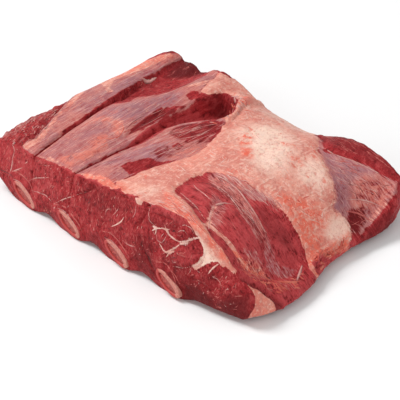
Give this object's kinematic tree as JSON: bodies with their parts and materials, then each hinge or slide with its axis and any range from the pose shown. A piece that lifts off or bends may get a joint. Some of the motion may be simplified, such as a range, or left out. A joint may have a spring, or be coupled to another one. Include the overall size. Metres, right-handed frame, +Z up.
{
  "type": "raw beef short ribs",
  "caption": "Raw bone-in slab of beef short ribs lying on its bone side, cut square across the ribs, with slit muscle strips and a fat cover on top.",
  "frame": {"origin": "middle of the footprint, on the surface that the slab lies on", "axes": "+X across the ribs, from the plain strip end to the end with the muscle fan and the flap; +Y along the ribs, from the near cut face to the far one; +Z up"},
  "size_m": [0.2746, 0.1944, 0.0655],
  "materials": {
    "lean": "moist raw lean",
    "fat": "moist raw fat",
    "bone": "sawn bone",
    "marrow": "moist marrow"
  },
  "bodies": {
    "root": {"lean_meat": "lean", "fat_cover": "fat", "rib_1": "bone", "rib_2": "bone", "rib_3": "bone", "rib_4": "bone", "marrow_1": "marrow", "marrow_2": "marrow", "marrow_3": "marrow", "marrow_4": "marrow"}
  },
  "joints": []
}
